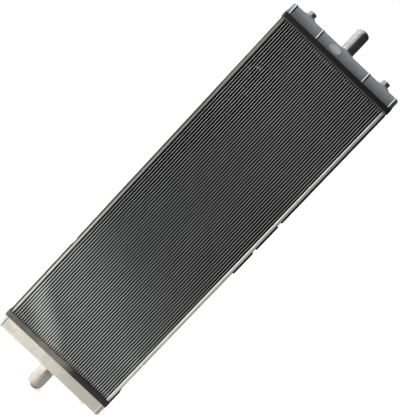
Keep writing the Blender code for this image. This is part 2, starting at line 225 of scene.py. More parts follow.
BAND_POINT = (-0.178, LOWER_FACE + 0.098)           # on the middle line of the painted reflection band
BAND_ACROSS = (0.563, 0.825)                        # the direction across it
BAND_HALF_WIDTH = 0.050
BAND_FADE = (0.020, -0.045)                         # across the core: where it ends, and where it is whole
FOOT_LIGHT_FADE = (0.38, 0.10)                            # height where the painted light at the core's foot ends, and is strongest
FOOT_LIGHT_TILT = 0.38                                    # the end of that painted light slopes down to the right
CROWN_EDGE = (0.75 * MM, 1.05 * MM)                 # from a tube's middle: where its bare crown, partly worn and partly a painted highlight, ends
NOSE_EDGE = (0.9 * MM - TUBE_HALF_DEPTH, 1.5 * MM - TUBE_HALF_DEPTH)
PAINT_COVER = 0.58                                  # share of a tube's crown that paint hides
PAINT = (0.008, 0.008, 0.009)


def on_front(n):
    """1 on the front half and 0 on the back half."""
    return n.ramp(n.axis("Y"), 0.0, -5 * MM)


def painted_reflection_band(n):
    """The bright slanting band at the core's lower left: a painted reflection, drawn by taking most of the
    paint away there.
    """
    x = n.times(n.minus(n.axis("X"), BAND_POINT[0]), BAND_ACROSS[0])
    z = n.times(n.minus(n.axis("Z"), BAND_POINT[1]), BAND_ACROSS[1])
    off = n.math("ABSOLUTE", n.plus(x, z))
    band = n.times(n.ramp(off, BAND_HALF_WIDTH, 0.0), n.ramp(n.axis("X"), *BAND_FADE))
    return n.times(band, on_front(n))


def painted_foot_light(n):
    """1 at the core's foot, falling to 0 about a third of the way up: painted light, drawn as thinner paint.
    """
    tilted = n.plus(n.axis("Z"), n.times(n.axis("X"), FOOT_LIGHT_TILT))
    return n.ramp(tilted, LOWER_FACE + FOOT_LIGHT_FADE[0], LOWER_FACE + FOOT_LIGHT_FADE[1])


def tube_metal():
    """Extruded flat tube under a thin overspray of black paint, worn through along its nose's crown; that
    bare line is partly wear and partly a painted highlight, and the paint is also thinned for the painted
    light at the foot and in the painted reflection band.
    """
    n = Nodes("tube_aluminium")
    grain = n.noise(0.5 * MM, 2.0, 0.5, n.stretch((1.0, 1.0, 0.02)))
    streak = n.noise(9 * MM, 4.0, 0.6, n.stretch((1.0, 1.0, 0.12)))
    blotch = n.noise(60 * MM, 3.0, 0.5)
    lower_light, band = painted_foot_light(n), painted_reflection_band(n)
    right = spread_mask(n, (0.150, LOWER_FACE + 0.125), (0.060, 0.050), 0.9)
    middle = n.times(n.ramp(n.axis("Z"), LOWER_FACE + 0.22, LOWER_FACE + 0.42),
                     n.ramp(n.axis("Z"), LOWER_FACE + 0.92, LOWER_FACE + 0.64))
    cover = PAINT_COVER
    for mask, share in ((middle, 0.12), (lower_light, -0.24), (band, -0.44), (right, -0.18),
                        (n.minus(streak, 0.5), 0.14), (n.minus(blotch, 0.5), 0.10)):
        cover = n.plus(cover, n.times(mask, share))
    scuffs = n.ramp(n.noise(2.6 * MM, 5.0, 0.7), 0.70, 0.78)
    cover = n.minus(cover, n.times(scuffs, 0.15), clamp=True)
    turns = n.plus(n.math("DIVIDE", n.minus(n.axis("X"), tube_x(0)), TUBE_PITCH), 0.5)
    aside = n.times(n.math("ABSOLUTE", n.minus(n.math("FRACT", turns), 0.5)), TUBE_PITCH)
    flank = n.math("MAXIMUM", n.ramp(aside, *CROWN_EDGE), n.ramp(n.axis("Y"), *NOSE_EDGE))
    # The flanks go bare as well in the painted light at the foot and in the painted reflection band.
    lit_flank = n.plus(n.times(lower_light, 0.03), n.times(band, 0.40))
    cover = n.math("MAXIMUM", cover, n.minus(flank, lit_flank))
    metal = n.mix(grain, (0.62, 0.62, 0.62), (0.80, 0.80, 0.80))
    n.surface(n.mix(cover, metal, PAINT), n.ramp(cover, 0.0, 1.0, 0.34, 0.55),
              n.ramp(cover, 0.2, 0.95, 0.80, 0.0))
    n.bump((grain, 0.02 * MM), (n.noise(0.35 * MM, 2.0), 0.015 * MM))
    return n.material


def fin_metal():
    """Thin foil under a matt black coat, with dust on its front edges, lighter there where light and a
    reflection are painted, and with the ripple of its louvres.
    """
    n = Nodes("fin_black")
    louvres = n.add("ShaderNodeTexWave", wave_type="BANDS", bands_direction="Y")
    n.link(n.place, louvres.inputs["Vector"])
    louvres.inputs["Scale"].default_value = 1 / (7 * MM)
    louvres.inputs["Distortion"].default_value = 0.4
    dust = n.noise(35 * MM, 4.0, 0.6)
    edge = n.ramp(n.axis("Y"), 9 * MM - TUBE_HALF_DEPTH, 2.2 * MM - TUBE_HALF_DEPTH)
    top_end = n.ramp(n.axis("Z"), UPPER_FACE - 0.45, UPPER_FACE - 0.10)
    # Dust at the top end, plus the painted light at the foot and the painted reflection band, all kept to the
    # front edges.
    dust_and_painted_light = n.plus(n.times(painted_foot_light(n), 0.06), n.times(top_end, 0.03))
    dust_and_painted_light = n.times(edge, n.plus(dust_and_painted_light, n.times(painted_reflection_band(n), 0.95)))
    colour = n.mix(n.ramp(dust, 0.35, 0.7), (0.002, 0.002, 0.002), (0.004, 0.004, 0.004))
    n.surface(n.mix(dust_and_painted_light, colour, (0.22, 0.22, 0.215)), n.ramp(dust, 0.3, 0.7, 0.62, 0.78))
    n.shader.inputs["Specular IOR Level"].default_value = 0.06
    n.bump((louvres.outputs["Fac"], 0.25 * MM), (n.noise(0.4 * MM, 2.0), 0.03 * MM))
    return n.material


def worn_foil():
    """Fin foil that was knocked flat, so that its paint has cracked off in flakes."""
    n = Nodes("worn_foil")
    flakes = n.noise(1.4 * MM, 4.0, 0.6)
    scrape = n.noise(0.5 * MM, 2.0, 0.5, n.stretch((1.0, 1.0, 0.1)))
    colour = n.mix(n.ramp(flakes, 0.42, 0.55), (0.10, 0.10, 0.10), (0.46, 0.46, 0.46))
    n.surface(colour, n.ramp(scrape, 0.3, 0.7, 0.38, 0.55), 0.3)
    n.bump((flakes, 0.05 * MM), (scrape, 0.02 * MM))
    return n.material


def header_paint(name, tone, changes, bare_colour, bareness, edge):
    """Sprayed semi-matt paint on a pressed plate, rubbed thin in places. Its tone changes across the plate,
    each change given by where it starts and stops and by the new tone."""
    n = Nodes(name)
    orange_peel = n.noise(1.6 * MM, 2.0, 0.45)
    mottle = n.noise(22 * MM, 4.0, 0.6)
    rubbed = n.ramp(n.noise(5 * MM, 6.0, 0.68, n.stretch((0.35, 1.0, 1.0))), 0.60, 0.72)
    across = n.plus(n.axis("X"), n.times(n.minus(mottle, 0.5), 0.03))
    base = tone
    for start, stop, tone in changes:
        base = n.mix(n.ramp(across, start, stop), base, tone)
    base = n.mix(n.ramp(mottle, 0.30, 0.70, 0.0, 0.35), base, scaled(tone, 0.5))
    # Besides the rubbed patches, the paint is bare along the rounded edge by the core face: partly worn,
    # partly a painted highlight of that edge.
    bare = n.math("MAXIMUM", n.times(rubbed, bareness),
                  n.times(n.ramp(beyond_core(n), 3.0 * MM, 1.2 * MM), edge))
    n.surface(n.mix(bare, base, bare_colour), n.ramp(mottle, 0.3, 0.7, 0.45, 0.60))
    n.shader.inputs["Specular IOR Level"].default_value = 0.3
    n.bump((mottle, 0.10 * MM), (orange_peel, 0.06 * MM), (n.noise(0.3 * MM, 2.0), 0.01 * MM))
    return n.material


def beyond_core(n):
    """How far a place is past the nearer header's core face."""
    off_middle = n.math("ABSOLUTE", n.minus(n.axis("Z"), CORE_MIDDLE))
    return n.minus(off_middle, CORE_HEIGHT / 2)


def rib_highlight_and_shadow(n, colour, ribs, strength):
    """Paints a highlight on each rib's left flank and a shadow just to its right."""
    for x in ribs:
        aside = n.minus(n.axis("X"), x)
        left = n.times(n.ramp(aside, -2.9 * MM, -2.0 * MM), n.ramp(aside, 0.0 * MM, -0.5 * MM))
        right = n.times(n.ramp(aside, -0.3 * MM, 0.3 * MM), n.ramp(aside, 5.2 * MM, 3.8 * MM))
        colour = n.mix(n.times(left, 0.85 * strength), colour, (0.85, 0.85, 0.85))
        colour = n.mix(n.times(right, 0.90 * strength), colour, (0.02, 0.02, 0.022))
    return colour


def sand_cast(name, dark, light, stain, metallic, rough, ribs, rib_strength, shaded, foot_dark_edge_light=0.0,
              pad=False):
    """Sand-cast aluminium: sharp fine grain, small pits with painted shade in them, soft mottling and
    handling stains, painted shade on one side, darker towards the foot, a painted highlight along the upper
    edge and a painted highlight and shadow at each rib.
    """
    n = Nodes(name)
    grit = n.noise(0.75 * MM, 3.0, 0.65)
    lumps = n.noise(3.2 * MM, 3.0, 0.5)
    mottle = n.noise(28 * MM, 4.0, 0.62)
    pits = n.ramp(n.cells(2.1 * MM), 0.16, 0.05)
    stains = n.ramp(n.noise(45 * MM, 3.0, 0.5, n.stretch((0.5, 1.0, 1.3))), 0.52, 0.72)
    colour = n.mix(n.ramp(mottle, 0.30, 0.70), dark, light)
    # shaded darkens the tank towards one side: painted shade.
    start, stop, tone = shaded
    colour = n.mix(n.ramp(n.axis("X"), start, stop, 0.0, 0.85), colour, tone)
    colour = n.mix(n.times(stains, 0.45), colour, stain)
    speckle = n.ramp(grit, 0.35, 0.68)
    shade = scaled(dark, 0.62)
    bright = scaled(light, 1.9)
    colour = n.mix(n.times(n.minus(1.0, speckle), 0.35), colour, shade)
    # The pits are darkened in colour as well as sunk by the bump: painted shade in them.
    colour = n.mix(n.times(pits, 0.5), colour, shade)
    if pad:
        spot = spread_mask(n, (PAD_PLACE[0], UPPER_FACE + PAD_PLACE[1]), PAD_RADII, 0.12)
        spot = n.times(spot, on_front(n))
        colour = n.mix(n.times(spot, 0.80), colour, bright)
    height = beyond_core(n)
    # Darker towards the foot; lighter towards the upper edge, where a highlight is painted.
    foot = n.ramp(height, 32 * MM, 17 * MM)
    colour = n.mix(n.times(foot, foot_dark_edge_light), colour, scaled(dark, 0.35))
    colour = n.mix(n.ramp(height, 30 * MM, 42 * MM, 0.0, foot_dark_edge_light * 0.4), colour, bright)
    colour = rib_highlight_and_shadow(n, colour, ribs, rib_strength)
    n.surface(colour, n.ramp(grit, 0.3, 0.7, rough - 0.08, rough + 0.10), metallic)
    n.bump((lumps, 0.22 * MM), (grit, 0.16 * MM), (n.minus(1.0, pits), 0.10 * MM))
    return n.material


def turned_metal(name, dark, light, rough, metallic, right_shade=None):
    """Turned metal: fine tool rings, light smears and a few scratches along it. right_shade gives where the
    painted shade on its right side starts and stops, and how strong it is."""
    n = Nodes(name)
    rings = n.noise(0.35 * MM, 2.0, 0.5, n.stretch((0.04, 0.04, 1.0)))
    smear = n.noise(16 * MM, 4.0, 0.6)
    scratch = n.ramp(n.noise(1.1 * MM, 3.0, 0.6, n.stretch((1.0, 1.0, 0.10))), 0.66, 0.72)
    colour = n.mix(n.ramp(smear, 0.3, 0.7), dark, light)
    colour = n.mix(n.times(scratch, 0.25), colour, scaled(light, 1.5))
    # A painted shade darkens the right side, away from the light.
    if right_shade:
        start, stop, strength = right_shade
        colour = n.mix(n.ramp(n.axis("X"), start, stop, 0.0, strength), colour, scaled(dark, 0.2))
    n.surface(colour, n.ramp(smear, 0.3, 0.7, rough - 0.04, rough + 0.05), metallic)
    n.bump((rings, 0.014 * MM), (scratch, 0.010 * MM))
    return n.material


def channel_metal():
    """Rolled side channels: lengthwise mill lines, dull oxide, flux stains by the headers, and black
    overspray along the lips."""
    n = Nodes("side_plate_aluminium")
    lines = n.noise(0.6 * MM, 3.0, 0.6, n.stretch((1.0, 1.0, 0.015)))
    oxide = n.noise(30 * MM, 4.0, 0.6, n.stretch((1.0, 1.0, 0.35)))
    ends = n.ramp(beyond_core(n), -0.04, 0.0)
    height = n.ramp(n.axis("Z"), LOWER_FACE, UPPER_FACE)
    left = n.mix(n.ramp(height, 0.0, 0.45), (0.80, 0.78, 0.68), (0.42, 0.42, 0.35))
    left = n.mix(n.ramp(height, 0.55, 1.0), left, (0.29, 0.29, 0.24))
    right = n.mix(n.ramp(height, 0.25, 1.0), (0.66, 0.66, 0.62), (0.40, 0.40, 0.36))
    from_lip = n.minus(CHANNEL_LIP, n.math("ABSOLUTE", n.axis("X")))
    # A lighter strip towards the right channel's inner edge: a painted highlight of its rounded bend.
    right = n.mix(n.ramp(from_lip, 6.5 * MM, 8.0 * MM, 0.0, 0.6), right, (0.92, 0.92, 0.88))
    side = n.ramp(n.axis("X"), -0.1, 0.1)               # 0 on the left channel, 1 on the right one
    colour = n.mix(side, left, right)
    colour = n.mix(n.ramp(oxide, 0.3, 0.7, 0.25, 0.0), colour, (0.22, 0.22, 0.18))
    colour = n.mix(n.times(lines, 0.2), colour, (0.20, 0.20, 0.17))
    stain = n.times(ends, n.ramp(n.noise(12 * MM, 4.0), 0.40, 0.65))
    colour = n.mix(n.times(stain, 0.6), colour, (0.17, 0.15, 0.12))
    left_reach = n.ramp(n.axis("Z"), UPPER_FACE - 0.30, UPPER_FACE - 0.18, 4.2 * MM, 2.0 * MM)
    reach = n.plus(n.times(left_reach, n.minus(1.0, side)), n.times(side, 1.7 * MM))
    overspray = n.ramp(n.minus(from_lip, reach), 0.4 * MM, -0.4 * MM)
    n.surface(n.mix(n.times(overspray, 0.95), colour, (0.020, 0.020, 0.016)),
              n.ramp(oxide, 0.3, 0.7, 0.46, 0.60), 0.25)
    n.bump((lines, 0.03 * MM), (oxide, 0.12 * MM))
    return n.material


def sponge():
    """Matt closed-cell sponge: open pores in the cut skin and a grey bloom of dust."""
    n = Nodes("seal_foam")
    pores = n.cells(0.9 * MM)
    bloom = n.noise(14 * MM, 4.0, 0.62)
    colour = n.mix(n.ramp(bloom, 0.35, 0.75), (0.006, 0.006, 0.006), (0.016, 0.016, 0.015))
    # The pores are darkened in colour as well as sunk by the bump: painted shade in them.
    n.surface(n.mix(n.ramp(pores, 0.22, 0.05), colour, (0.003, 0.003, 0.003)), 0.95)
    n.shader.inputs["Specular IOR Level"].default_value = 0.2
    n.bump((pores, 0.20 * MM), (n.noise(4 * MM, 3.0), 0.25 * MM))
    return n.material


TUBE = tube_metal()
FIN = fin_metal()
WORN_FOIL = worn_foil()
TOP_HEADER = header_paint("top_header_black", (0.006, 0.006, 0.006), (), (0.12, 0.117, 0.105), 0.10, 0.60)
# The bottom header has the same black paint as the top one; its grey tones, lighter on the left and in the
# middle and darker to the right, are painted light.
BOTTOM_HEADER = header_paint("bottom_header_grey", (0.108, 0.104, 0.090),
                             ((-0.130, -0.020, (0.190, 0.174, 0.146)),
                              (0.018, 0.064, (0.018, 0.018, 0.019))), (0.30, 0.28, 0.24), 0.30, 0.0)
TOP_CAST = sand_cast("top_tank_cast", (0.205, 0.214, 0.223), (0.270, 0.279, 0.286), (0.190, 0.186, 0.182),
                     metallic=0.30, rough=0.55, ribs=TOP_RIBS, rib_strength=1.0,
                     shaded=(-0.090, -0.170, (0.140, 0.147, 0.153)), foot_dark_edge_light=0.70, pad=True)
# The bottom tank is the same cast aluminium as the top one; its much lighter, warmer tones are painted light.
BOTTOM_CAST = sand_cast("bottom_tank_cast", (0.54, 0.50, 0.44), (0.68, 0.63, 0.56), (0.42, 0.385, 0.33),
                        metallic=0.15, rough=0.50, ribs=END_RIBS, rib_strength=0.35,
                        shaded=(-0.060, 0.090, (0.40, 0.385, 0.33)))
TOP_TURNED = turned_metal("top_port_tube", (0.32, 0.33, 0.32), (0.42, 0.43, 0.43), 0.24, 0.92,
                          (-0.014, 0.004, 0.50))
BOTTOM_TURNED = turned_metal("bottom_port_neck", (0.46, 0.43, 0.37), (0.56, 0.53, 0.47), 0.36, 0.85,
                             (-0.018, 0.014, 0.62))
PIN = turned_metal("pin_steel", (0.26, 0.27, 0.27), (0.34, 0.35, 0.36), 0.30, 0.92)
# A lighter copy of the pin steel for the lower pins: painted light.
LOWER_PIN = turned_metal("lower_pin_painted_light", (0.74, 0.72, 0.68), (0.84, 0.82, 0.78), 0.40, 0.30)
CHANNEL = channel_metal()
SPONGE = sponge()


# ---------------------------------------------------------------- mesh helpers

def finish_piece(name, bm, material, sharp=40.0):
    """Makes an object of a bmesh, shaded smooth except across sharp edges."""
    bmesh.ops.recalc_face_normals(bm, faces=bm.faces)
    mesh = bpy.data.meshes.new(name)
    bm.to_mesh(mesh)
    bm.free()
    mesh.shade_smooth()
    mesh.set_sharp_from_angle(angle=math.radians(sharp))
    mesh.materials.append(material)
    piece = bpy.data.objects.new(name, mesh)
    bpy.context.scene.collection.objects.link(piece)
    return piece


def keep(piece, slot, *nodes):
    """Fixes a finished piece to the cooler in place of its CAD nodes."""
    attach(piece, "root")
    if nodes:
        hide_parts(*nodes)
    return piece


def add_box(bm, low, high):
    low, high = Vector(low), Vector(high)
    place = Matrix.Translation((low + high) / 2) @ Matrix.Diagonal((*(high - low), 1))
    return bmesh.ops.create_cube(bm, size=1, matrix=place)["verts"]


def rounded_box(low, high, corner, top=0.0, bottom=0.0, segments=8):
    """A box with its four upright edges rounded, and its top and bottom rims if asked for."""
    bm = bmesh.new()
    add_box(bm, low, high)
    upright = [e for e in bm.edges if abs(e.verts[0].co.z - e.verts[1].co.z) > 1e-6]
    bmesh.ops.bevel(bm, geom=upright, offset=corner, segments=segments, profile=0.5, affect="EDGES")
    for level, radius in ((high[2], top), (low[2], bottom)):
        if radius:
            rim = [e for e in bm.edges if all(abs(v.co.z - level) < 1e-6 for v in e.verts)]
            bmesh.ops.bevel(bm, geom=rim, offset=radius, segments=segments - 2, profile=0.5, affect="EDGES")
    return bm


def arc(centre, radii, start, end, segments):
    """Points of an elliptic arc, with its angles in degrees."""
    points = []
    for i in range(segments + 1):
        angle = math.radians(start + (end - start) * i / segments)
        points.append((centre[0] + radii[0] * math.cos(angle), centre[1] + radii[1] * math.sin(angle)))
    return points


def turned(profile, place, steps=96, closed=False):
    """A bmesh turned about Z from (radius, height) points, standing on place."""
    bm = bmesh.new()
    rings = []
    for radius, height in profile:
        if radius < 1e-6:
            rings.append([bm.verts.new(Vector(place) + Vector((0, 0, height)))])
            continue
        ring = []
        for i in range(steps):
            angle = 2 * math.pi * i / steps
            offset = Vector((radius * math.cos(angle), radius * math.sin(angle), height))
            ring.append(bm.verts.new(Vector(place) + offset))
        rings.append(ring)
    pairs = list(zip(rings, rings[1:]))
    if closed:
        pairs.append((rings[-1], rings[0]))
    for a, b in pairs:
        for i in range(steps):
            j = (i + 1) % steps
            corners = [a[i % len(a)], a[j % len(a)], b[j % len(b)], b[i % len(b)]]
            bm.faces.new(list(dict.fromkeys(corners)))
    return bm


def merge(target, source):
    """Adds a bmesh to another one and frees it."""
    carrier = bpy.data.meshes.new("carrier")
    source.to_mesh(carrier)
    source.free()
    target.from_mesh(carrier)
    bpy.data.meshes.remove(carrier)


def skin(bm, rings, wrap=False):
    """Joins rings of vertices with faces, and caps both ends, or wraps round to the first ring."""
    for a, b in zip(rings, rings[1:] + (rings[:1] if wrap else [])):
        for i in range(len(a)):
            j = (i + 1) % len(a)
            bm.faces.new((a[i], a[j], b[j], b[i]))
    if not wrap:
        bm.faces.new(rings[0])
        bm.faces.new(rings[-1])


def prism(loop, low, high):
    """A flat loop of (x, y) points made into a closed bar from z low to z high."""
    bm = bmesh.new()
    rings = [[bm.verts.new((x, y, z)) for x, y in loop] for z in (low, high)]
    skin(bm, rings)
    return bm


def applied(piece):
    """Bakes a piece's modifiers into its mesh."""
    evaluated = piece.evaluated_get(bpy.context.evaluated_depsgraph_get())
    mesh = bpy.data.meshes.new_from_object(evaluated)
    piece.modifiers.clear()
    old, piece.data = piece.data, mesh
    bpy.data.meshes.remove(old)
    return piece


def combine(piece, bm, operation="DIFFERENCE"):
    """Cuts a bmesh out of a piece, or joins it on with UNION."""
    bmesh.ops.recalc_face_normals(bm, faces=bm.faces)
    mesh = bpy.data.meshes.new("cutter")
    bm.to_mesh(mesh)
    bm.free()
    cutter = bpy.data.objects.new("cutter", mesh)
    bpy.context.scene.collection.objects.link(cutter)
    modifier = piece.modifiers.new("cut", "BOOLEAN")
    modifier.operation = operation
    modifier.solver = "MANIFOLD"
    modifier.object = cutter
    applied(piece)
    bpy.data.objects.remove(cutter)
    bpy.data.meshes.remove(mesh)


# ---------------------------------------------------------------- core

TUBE_RINGS = 46
TUBE_WAVE = 0.08 * MM           # how far a tube wanders sideways
TUBE_DENT = 0.6 * MM            # how deep its nose is knocked in, for each unit of the noise over 0.25


def tube_outline(grow=0.0):
    """A flat tube's outline with full round noses, or one that lies a little outside it."""
    nose = TUBE_THICKNESS / 2
    straight = TUBE_HALF_DEPTH - nose
    loop = arc((0, straight), (nose + grow, nose + grow), 0, 180, 10)
    return loop + arc((0, -straight), (nose + grow, nose + grow), 180, 360, 10)


def make_tube(index, low, high):
    """One flat tube, with the slight waves and dents that handling leaves in its noses."""
    rng = random.Random(index)
    phase = rng.uniform(0, 100)
    outline = tube_outline()
    bm = bmesh.new()
    rings = []
    for i in range(TUBE_RINGS + 1):
        z = low + (high - low) * i / TUBE_RINGS
        wave = noise.noise((phase, 0.0, z * 16)) * TUBE_WAVE
        dent = max(0.0, noise.noise((phase, 7.0, z * 40)) - 0.25) * TUBE_DENT
        ring = []
        for x, y in outline:
            pull = dent if y < 0 else 0.0
            squeeze = 1 - abs(y) / TUBE_HALF_DEPTH * 0.3 * dent / TUBE_THICKNESS
            ring.append(bm.verts.new((tube_x(index) + x * squeeze + wave, y + pull, z)))
        rings.append(ring)
    skin(bm, rings)
    return finish_piece(f"flat_tube_{index + 1:02d}", bm, TUBE)


FOLD_PITCH = 4.0 * MM
FOIL = 0.16 * MM
CHEVRON = 4.1 * MM      # the folds dip towards mid-depth, so that no line of sight passes straight through


def fold_mesh():
    """The serpentine foil of one fin strip, centred on x = 0, with its folds stacked along Z."""
    half = FIN_GAP / 2 - FOIL / 2 + 0.10 * MM       # brazed on, so the crowns sink into the tubes
    count = int((fin_high.z - fin_low.z - CHEVRON) / FOLD_PITCH)
    start = fin_low.z + CHEVRON + (fin_high.z - fin_low.z - CHEVRON - count * FOLD_PITCH) / 2
    line = []
    for i in range(count):
        z = start + i * FOLD_PITCH
        for side, share in ((-1, 0.00), (-1, 0.14), (1, 0.50), (1, 0.64)):
            line.append(Vector((side * half, z + share * FOLD_PITCH)))
    line.append(Vector((-half, start + count * FOLD_PITCH)))
    bm = bmesh.new()
    rings = []
    for i, point in enumerate(line):
        before = (point - line[max(i - 1, 0)]).normalized()
        after = (line[min(i + 1, len(line) - 1)] - point).normalized()
        along = (before + after).normalized()
        offset = Vector((-along.y, along.x)) * FOIL / 2
        ring = []
        for sign, y, dip in ((1, fin_low.y, 0), (1, 0, CHEVRON), (1, fin_high.y, 0),
                             (-1, fin_high.y, 0), (-1, 0, CHEVRON), (-1, fin_low.y, 0)):
            spot = point + offset * sign
            ring.append(bm.verts.new((spot.x, y, spot.y - dip)))
        rings.append(ring)
    skin(bm, rings)
    return bm


# Each crushed fold has its place across the core, its depth below the upper face and its height.
CRUSHED = ((-157 * MM, 155 * MM, 4 * MM), (-141 * MM, 140 * MM, 5 * MM), (-134 * MM, 137 * MM, 4 * MM))


def make_crushed_folds():
    """Folds knocked flat near the core's top left."""
    for number, (x, below, height) in enumerate(CRUSHED, 1):
        centre = gap_x(round((x - gap_x(0)) / TUBE_PITCH))
        bm = bmesh.new()
        bmesh.ops.create_grid(bm, x_segments=10, y_segments=10, size=0.5)
        for vertex in bm.verts:
            across, along = vertex.co.x, vertex.co.y
            crumple = noise.noise((number * 9.0, across * 3, along * 4)) * 0.5 * MM
            bulge = (1 - (2 * across) ** 2) * 0.5 * MM
            vertex.co = Vector((centre + across * (FIN_GAP + 0.3 * MM), fin_low.y - bulge + crumple,
                                UPPER_FACE - below + along * height))
        bmesh.ops.solidify(bm, geom=bm.faces[:], thickness=FOIL)
        keep(finish_piece(f"crushed_fold_{number}", bm, WORN_FOIL, 60.0), "fin_black")


def make_core():
    low, high = block_low.z, block_high.z
    for index in range(TUBE_COUNT):
        block = BLOCKS[index // TUBES_PER_BLOCK]
        keep(make_tube(index, low, high), "tube_aluminium", block)
    pattern = finish_piece("fin_pattern", fold_mesh(), FIN, 30.0)
    for gap in range(TUBE_COUNT + 1):
        fin = bpy.data.objects.new(f"folded_fin_{gap + 1:02d}", pattern.data)
        fin.location.x = gap_x(gap)
        bpy.context.scene.collection.objects.link(fin)
        outer = gap % TUBES_PER_BLOCK == 0
        keep(fin, "fin_black", *([STRIPS[gap // TUBES_PER_BLOCK]] if outer else []))
    bpy.data.objects.remove(pattern)


# ---------------------------------------------------------------- ends

HEADER_CORNER = 9 * MM
HEADER_EDGE = 2.6 * MM
HEADER_RIM_WALL = 1.5 * MM
# Braze fillet round a tube, as (how far out from the tube, height).
FILLET = ((1.5 * MM, 0.3 * MM), (0.9 * MM, -0.25 * MM), (0.4 * MM, -0.8 * MM), (0.05 * MM, -1.5 * MM))
TANK_CORNER = 8.5 * MM
TANK_EDGE = 6.0 * MM
TANK_WALL = 4.5 * MM
RIB_FOOT_HALF = 3.0 * MM
RIB_CROWN_HALF = 0.5 * MM
RIB_STEP = 1.6 * MM
INNER_RIB_RISE = 3.5 * MM       # the inner ribs stop this much short of the end ribs
SKIRT = 1.2 * MM                # the thicker edge round a tank's foot
TOP_PIN_BOSS = 8 * MM           # the height of the pins' bosses
BOTTOM_PIN_BOSS = 4 * MM
PORT_FOOT = -3 * MM             # the ports' walls reach this far into their bosses


class End:
    """One end of the cooler. Heights are measured from the header's core face, away from the core."""

    def __init__(self, side):
        self.side = side
        self.up = 1 if side == "top" else -1
        self.zero = UPPER_FACE if side == "top" else LOWER_FACE
        low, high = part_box(f"{side}_header_plate")
        self.header_x, self.header_y = high.x, high.y
        self.header_height = high.z - low.z
        port_low, port_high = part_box(f"{side}_port")
        self.port_tip = self.height(port_high.z if self.up > 0 else port_low.z)
        self.port_foot = self.height(port_low.z if self.up > 0 else port_high.z)
        self.tank_top = self.port_foot + TANK_WALL
        pin_low, pin_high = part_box(f"{side}_right_mounting_pin")
        self.pin_x = (pin_low.x + pin_high.x) / 2
        self.pin_radius = (pin_high.x - pin_low.x) / 2
        self.pin_tip = self.height(pin_high.z if self.up > 0 else pin_low.z)

    def height(self, z):
        return (z - self.zero) * self.up

    def place(self, shape):
        """Moves a bmesh or a mesh built in the end's own frame to its place on the cooler."""
        turn = Matrix.Identity(4) if self.up > 0 else Matrix.Rotation(math.pi, 4, "X")
        shape.transform(Matrix.Translation((0, 0, self.zero)) @ turn)
        return shape


def make_header(end, material, slot):
    """The pressed pan with its rolled edge, and a braze fillet round each tube."""
    x, y, top = end.header_x, end.header_y, end.header_height
    bm = rounded_box((-x, -y, 0), (x, y, top), HEADER_CORNER, 0.5 * MM, HEADER_EDGE, 10)
    pan = finish_piece(f"pressed_{end.side}_header", end.place(bm), material, 35.0)
    inner = HEADER_RIM_WALL
    well = rounded_box((inner - x, inner - y, 4 * MM), (x - inner, y - inner, 2 * top),
                       HEADER_CORNER - inner, 0.0, 2 * MM, 10)
    combine(pan, end.place(well))
    collars = bmesh.new()
    for index in range(TUBE_COUNT):
        rings = []
        for grow, height in FILLET:
            ring = [collars.verts.new((tube_x(index) + px, py, height)) for px, py in tube_outline(grow)]
            rings.append(ring)
        skin(collars, rings)
    fillets = finish_piece(f"{end.side}_tube_braze_fillets", end.place(collars), material, 60.0)
    keep(pan, slot, f"{end.side}_header_plate")
    keep(fillets, slot)


def dome(radius, height, flat, foot):
    """A raised boss: a flared foot, a rounded side and a flat crown."""
    profile = [(0, height)] + arc((flat, 0), (radius - flat, height), 90, 0, 8)
    return [(r, h + foot) for r, h in profile] + [(radius, foot - 3 * MM), (0, foot - 3 * MM)]


def rib_hoop(x, foot, end, half_depth):
    """A hoop rib with drafted flanks, as a closed slab through the tank."""
    bm = bmesh.new()
    loops = []
    for across, rise in ((-RIB_FOOT_HALF, -0.5 * MM), (-RIB_CROWN_HALF, RIB_STEP),
                         (RIB_CROWN_HALF, RIB_STEP), (RIB_FOOT_HALF, -0.5 * MM)):
        y, top, radius = half_depth + rise, end.tank_top + rise, TANK_EDGE + rise
        side = arc((y - radius, top - radius), (radius, radius), 0, 90, 10)
        outline = [(y, foot)] + side + [(-py, pz) for py, pz in reversed(side)] + [(-y, foot)]
        loops.append([bm.verts.new((x + across, py, pz)) for py, pz in outline])
    skin(bm, loops)
    return bm


def oval_slab(radii, low, high, half_depth, draft):
    """An oval slab on the tank's front face, smaller at its top by the draft."""
    bm = bmesh.new()
    rings = []
    for level, shrink in ((low, 0.0), (high, draft)):
        loop = arc(PAD_PLACE, (radii[0] - shrink, radii[1] - shrink), 0, 360, 64)[:-1]
        rings.append([bm.verts.new((x, -half_depth - level, z)) for x, z in loop])
    skin(bm, rings)
    return bm


